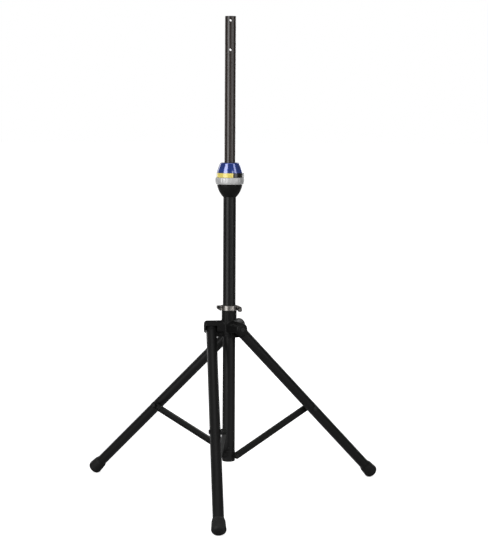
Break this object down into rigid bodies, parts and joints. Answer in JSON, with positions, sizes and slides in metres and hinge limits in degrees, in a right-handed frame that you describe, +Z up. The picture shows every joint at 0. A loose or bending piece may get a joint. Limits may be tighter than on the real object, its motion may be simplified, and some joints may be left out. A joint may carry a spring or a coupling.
{
  "type": "speaker stand",
  "caption": "Folding tripod stand for a loudspeaker, with a telescoping pole, a twist-lock collar with a coloured lock index, a sliding leg hub, braced legs and rubber feet.",
  "frame": {"origin": "on the floor, under the pole's axis, with the legs spread", "axes": "+Z up along the pole; the front leg points to -Y and the other two are 120 degrees either side of it"},
  "size_m": [0.9736, 0.8988, 1.529],
  "materials": {
    "pole_bronze_black": "satin warm black anodised",
    "tube_black": "satin black powder coat",
    "strut_black": "satin black paint",
    "nylon_black": "matte glass-filled nylon",
    "casting_black": "satin black painted casting",
    "rubber_black": "matte",
    "cap_blue": "glossy metallic blue",
    "band_yellow": "glossy",
    "band_black": "glossy",
    "ring_silver": "satin cast",
    "nylon_natural": "matte",
    "steel_plain": "brushed zinc plate",
    "steel_black": "black oxide",
    "rivet_black": "satin black",
    "rod_chrome": "polished",
    "knob_plastic": "matte"
  },
  "bodies": {
    "main_mast": {"main_tube": "tube_black", "collar_base": "nylon_black", "collar_screws": "steel_black", "collet": "nylon_natural", "index_band_yellow": "band_yellow", "index_band_black": "band_black", "collar_cap": "cap_blue", "wiper_seal": "rubber_black", "strut_bracket": "casting_black", "bracket_rivets": "rivet_black", "strut_hinge_bolts": "steel_black", "gas_rod": "rod_chrome", "gas_rod_nut": "steel_plain", "gas_piston": "nylon_natural"},
    "gas_lift": {"gas_cylinder": "steel_black", "gas_gland": "nylon_natural"},
    "upper_pole": {"upper_tube": "pole_bronze_black", "top_cap": "nylon_black", "guide_bush": "nylon_natural", "bush_rivets": "steel_plain", "gas_top_plug": "nylon_natural", "gas_plug_rivets": "steel_plain", "gas_lower_spacer": "nylon_natural"},
    "lock_ring": {"grip_ring": "ring_silver", "lock_pointer": "ring_silver", "cam_ring": "nylon_natural"},
    "hub": {"leg_housing": "nylon_black", "housing_liner": "nylon_natural", "leg_pivot_bolts": "steel_black", "clamp_band_front": "steel_plain", "clamp_band_rear": "steel_plain", "clamp_ear_bolt": "steel_black", "clamp_nuts": "steel_plain"},
    "clamp_knob": {"thumb_screw": "steel_plain", "thumb_knob": "knob_plastic"},
    "leg_front": {"leg_tube_front": "tube_black", "leg_plug_front": "nylon_black", "strut_bolt_front": "steel_black", "foot_front": "rubber_black"},
    "brace_front": {"strut_front": "strut_black", "strut_bush_front": "steel_black"},
    "leg_right": {"leg_tube_right": "tube_black", "leg_plug_right": "nylon_black", "strut_bolt_right": "steel_black", "foot_right": "rubber_black"},
    "brace_right": {"strut_right": "strut_black", "strut_bush_right": "steel_black"},
    "leg_left": {"leg_tube_left": "tube_black", "leg_plug_left": "nylon_black", "strut_bolt_left": "steel_black", "foot_left": "rubber_black"},
    "brace_left": {"strut_left": "strut_black", "strut_bush_left": "steel_black"}
  },
  "joints": [
    {"name": "mast_slide", "type": "slide", "parent": "main_mast", "child": "gas_lift", "axis": [0, 0, 1], "range_m": [-0.36, 0.42]},
    {"name": "pole_swivel", "type": "hinge", "parent": "gas_lift", "child": "upper_pole", "pos_m": [0, 0, 1.4], "axis": [0, 0, 1], "continuous": true},
    {"name": "collar_twist", "type": "hinge", "parent": "main_mast", "child": "lock_ring", "pos_m": [0, 0, 1.011], "axis": [0, 0, -1], "range_deg": [0, 90]},
    {"name": "hub_slide", "type": "slide", "parent": "main_mast", "child": "hub", "axis": [0, 0, 1], "range_m": [0, 0.3]},
    {"name": "clamp_screw_turn", "type": "hinge", "parent": "hub", "child": "clamp_knob", "pos_m": [0.0338, -0.008, 0.5985], "axis": [0, -1, 0], "range_deg": [0, 360]},
    {"name": "leg_hinge_front", "type": "hinge", "parent": "hub", "child": "leg_front", "pos_m": [-0.0572, 0, 0.542], "axis": [1, 0, 0], "range_deg": [0, 45.86]},
    {"name": "leg_hinge_right", "type": "hinge", "parent": "hub", "child": "leg_right", "pos_m": [0.0286, -0.04954, 0.542], "axis": [-0.5, 0.866, 0], "range_deg": [0, 45.86]},
    {"name": "leg_hinge_left", "type": "hinge", "parent": "hub", "child": "leg_left", "pos_m": [0.0286, 0.04954, 0.542], "axis": [-0.5, -0.866, 0], "range_deg": [0, 45.86]},
    {"name": "strut_hinge_front", "type": "hinge", "parent": "main_mast", "child": "brace_front", "pos_m": [-0.0286, -0.012, 0.126], "axis": [-1, 0, 0], "range_deg": [0, 66.85]},
    {"name": "strut_hinge_right", "type": "hinge", "parent": "main_mast", "child": "brace_right", "pos_m": [0.02469, -0.01877, 0.126], "axis": [0.5, -0.866, 0], "range_deg": [0, 66.85]},
    {"name": "strut_hinge_left", "type": "hinge", "parent": "main_mast", "child": "brace_left", "pos_m": [0.00391, 0.03077, 0.126], "axis": [0.5, 0.866, 0], "range_deg": [0, 66.85]}
  ],
  "couplings": [
    {"joint": "leg_hinge_front", "follows": "hub_slide", "rad_per_m": 2.6674},
    {"joint": "leg_hinge_right", "follows": "hub_slide", "rad_per_m": 2.6674},
    {"joint": "leg_hinge_left", "follows": "hub_slide", "rad_per_m": 2.6674},
    {"joint": "strut_hinge_front", "follows": "hub_slide", "rad_per_m": 3.8877},
    {"joint": "strut_hinge_right", "follows": "hub_slide", "rad_per_m": 3.8877},
    {"joint": "strut_hinge_left", "follows": "hub_slide", "rad_per_m": 3.8877}
  ]
}
